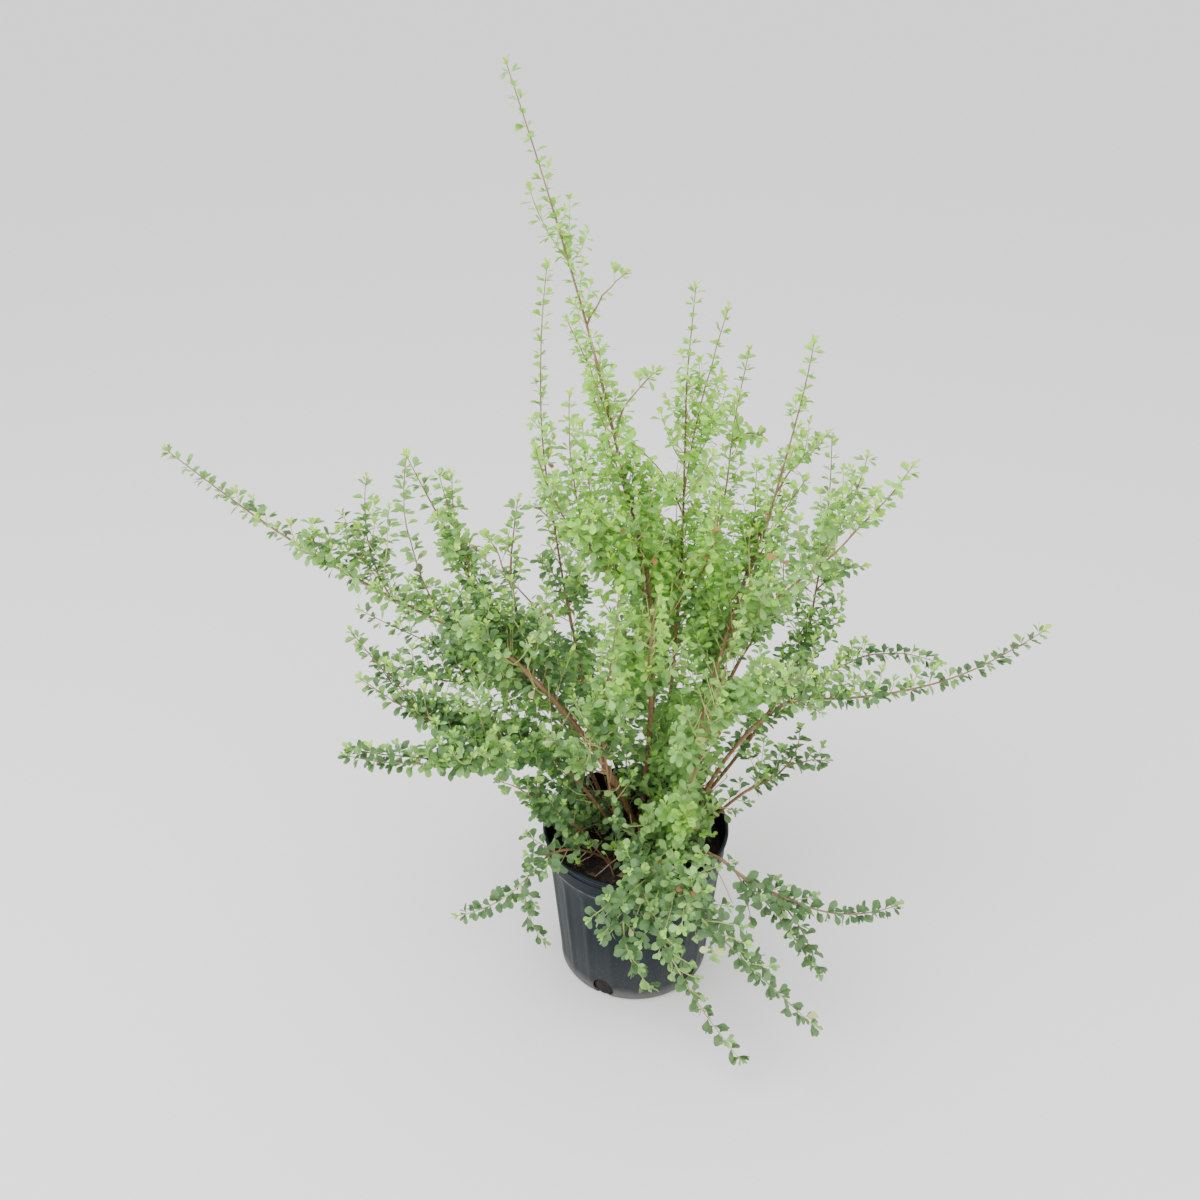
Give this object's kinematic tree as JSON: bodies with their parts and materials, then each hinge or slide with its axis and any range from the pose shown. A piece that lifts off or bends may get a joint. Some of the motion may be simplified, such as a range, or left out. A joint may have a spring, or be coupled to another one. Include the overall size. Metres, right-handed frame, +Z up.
{
  "type": "potted oregano shrub",
  "caption": "Bushy many-stemmed herb shrub with long leafy shoots, one tall leader and trailing front stems, growing in a round tapered fluted plastic nursery pot.",
  "frame": {"origin": "middle of the pot's flat underside, on the surface that the pot stands on", "axes": "+Z up; -Y is the front, where three shoots trail over the rim; +X is the side of the long bare arm; -X the side of the long leaning left stem"},
  "size_m": [1.1699, 0.764, 1.2869],
  "materials": {
    "pot_plastic": "dull slate black blow-moulded plastic, dusty near the foot",
    "potting_mix": "moist dark bark and peat mix",
    "stem_bark": "thin reddish brown bark",
    "foliage": "small soft matt green leaves"
  },
  "bodies": {
    "root": {"pot": "pot_plastic", "potting_mix": "potting_mix", "leader_stem": "stem_bark", "centre_stem": "stem_bark", "back_stem": "stem_bark", "right_stem": "stem_bark", "bare_stem": "stem_bark", "arm_stem": "stem_bark", "dry_stem": "stem_bark", "left_stem": "stem_bark", "thin_stem": "stem_bark", "low_left_stem": "stem_bark", "far_left_stem": "stem_bark", "skirt_stem": "stem_bark", "trail_left_stem": "stem_bark", "trail_front_stem": "stem_bark", "trail_drop_stem": "stem_bark", "trail_side_stem": "stem_bark", "heart_left_stem": "stem_bark", "heart_right_stem": "stem_bark", "arch_left_stem": "stem_bark", "arch_back_stem": "stem_bark", "arch_right_stem": "stem_bark", "arch_low_stem": "stem_bark", "leader_top": "foliage", "leader_fan": "foliage", "leader_inner": "foliage", "centre_top": "foliage", "centre_side": "foliage", "back_spire": "foliage", "right_top": "foliage", "right_side": "foliage", "right_inner": "foliage", "bare_top": "foliage", "arm_tip": "foliage", "arm_loop": "foliage", "dry_top": "foliage", "left_tip": "foliage", "left_rise": "foliage", "left_inner": "foliage", "thin_top": "foliage", "low_left_tip": "foliage", "low_left_front": "foliage", "far_left_tip": "foliage", "far_left_back": "foliage", "skirt": "foliage", "trail_left": "foliage", "trail_front": "foliage", "trail_drop": "foliage", "trail_hang": "foliage", "trail_side": "foliage", "heart_left": "foliage", "heart_low": "foliage", "heart_right": "foliage", "cluster": "foliage", "arch_left": "foliage", "arch_back": "foliage", "arch_right": "foliage", "arch_low": "foliage"}
  },
  "joints": []
}
